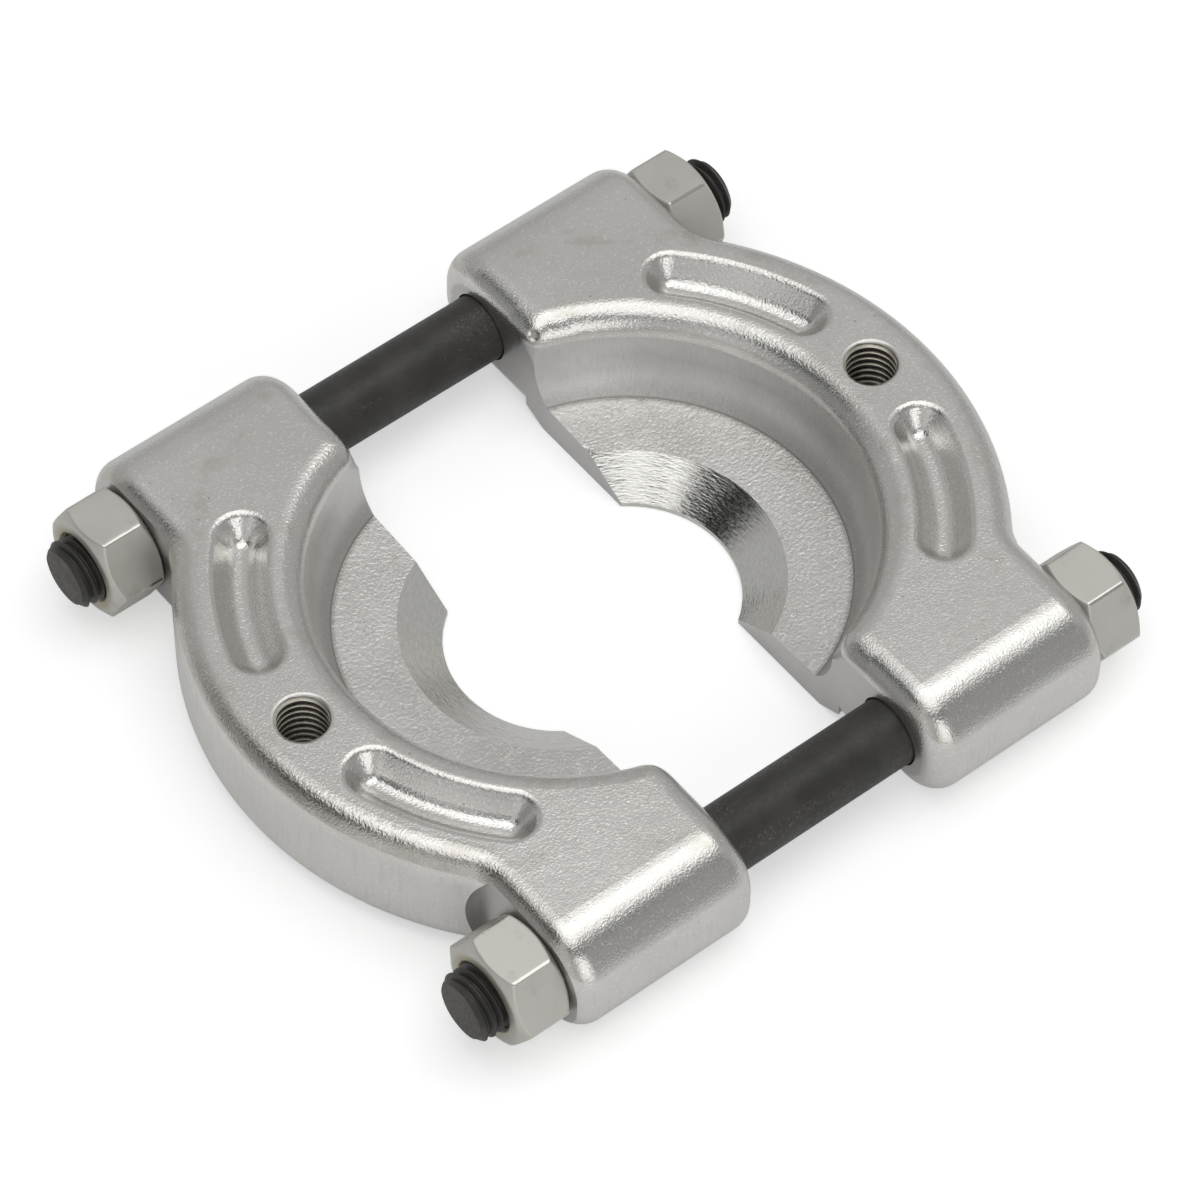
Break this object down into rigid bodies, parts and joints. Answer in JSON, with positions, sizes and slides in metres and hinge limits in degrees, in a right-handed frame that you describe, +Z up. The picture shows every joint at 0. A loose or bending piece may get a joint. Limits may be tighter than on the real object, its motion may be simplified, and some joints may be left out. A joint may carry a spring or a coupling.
{
  "type": "bearing separator",
  "caption": "Bearing separator: recessed half-ring jaws with thin lips, tapped holes and curved grooves, sliding on threaded studs and closed by hex nuts.",
  "frame": {"origin": "midway between the jaws and the studs, on the plane of the flat pads that the jaws rest on", "axes": "+X along the studs towards the right-hand jaw, +Y across the studs, +Z up out of the recess"},
  "size_m": [0.1386, 0.1306, 0.022],
  "materials": {
    "jaw": "bright plated forging, sandy grain, machined faces smoother",
    "stud": "black oxide, satin",
    "nut": "zinc plated, smooth"
  },
  "bodies": {
    "studs": {"stud_front": "stud", "stud_rear": "stud"},
    "jaw_left_body": {"jaw_left": "jaw"},
    "jaw_right_body": {"jaw_right": "jaw"},
    "nut_left_front_body": {"nut_left_front": "nut"},
    "nut_left_rear_body": {"nut_left_rear": "nut"},
    "nut_right_front_body": {"nut_right_front": "nut"},
    "nut_right_rear_body": {"nut_right_rear": "nut"}
  },
  "joints": [
    {"name": "jaw_left_slide", "type": "slide", "parent": "studs", "child": "jaw_left_body", "axis": [1, 0, 0], "range_m": [-0.003, 0.018]},
    {"name": "jaw_right_slide", "type": "slide", "parent": "studs", "child": "jaw_right_body", "axis": [-1, 0, 0], "range_m": [-0.003, 0.018]},
    {"name": "nut_left_front_turn", "type": "hinge", "parent": "jaw_left_body", "child": "nut_left_front_body", "pos_m": [-0.0584, -0.053, 0.01069], "axis": [1, 0, 0], "range_deg": [-760, 4400]},
    {"name": "nut_left_rear_turn", "type": "hinge", "parent": "jaw_left_body", "child": "nut_left_rear_body", "pos_m": [-0.0584, 0.053, 0.01069], "axis": [1, 0, 0], "range_deg": [-760, 4400]},
    {"name": "nut_right_front_turn", "type": "hinge", "parent": "jaw_right_body", "child": "nut_right_front_body", "pos_m": [0.0584, -0.053, 0.01069], "axis": [-1, 0, 0], "range_deg": [-760, 4400]},
    {"name": "nut_right_rear_turn", "type": "hinge", "parent": "jaw_right_body", "child": "nut_right_rear_body", "pos_m": [0.0584, 0.053, 0.01069], "axis": [-1, 0, 0], "range_deg": [-760, 4400]}
  ],
  "couplings": [
    {"joint": "nut_left_front_turn", "follows": "jaw_left_slide", "rad_per_m": 4188.8},
    {"joint": "nut_left_rear_turn", "follows": "jaw_left_slide", "rad_per_m": 4188.8},
    {"joint": "nut_right_front_turn", "follows": "jaw_right_slide", "rad_per_m": 4188.8},
    {"joint": "nut_right_rear_turn", "follows": "jaw_right_slide", "rad_per_m": 4188.8}
  ]
}
